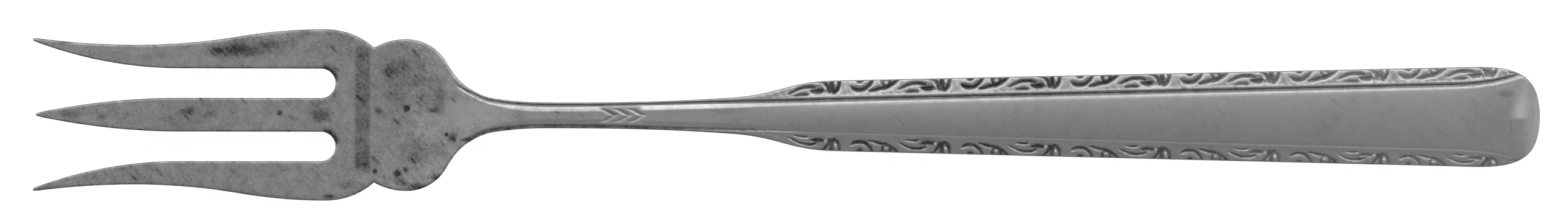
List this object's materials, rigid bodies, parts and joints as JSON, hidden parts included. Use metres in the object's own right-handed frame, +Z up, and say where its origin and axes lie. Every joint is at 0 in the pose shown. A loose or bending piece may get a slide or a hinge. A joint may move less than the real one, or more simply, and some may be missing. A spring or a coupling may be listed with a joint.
{
  "type": "short handle fork",
  "caption": "One-piece serving fork with long pointed tines, a round lobe, a slim neck and a flat handle with ornamented borders, for lifting cold slices or pickles.",
  "frame": {"origin": "middle of the whole length and width, on the surface that the fork rests on", "axes": "+X from the tips to the handle's end, +Y across, +Z up from the underside to the face"},
  "size_m": [0.146, 0.0166, 0.0091],
  "materials": {
    "aged_silver": "satin silver, worn and lightly tarnished"
  },
  "bodies": {
    "root": {"fork": "aged_silver"}
  },
  "joints": []
}
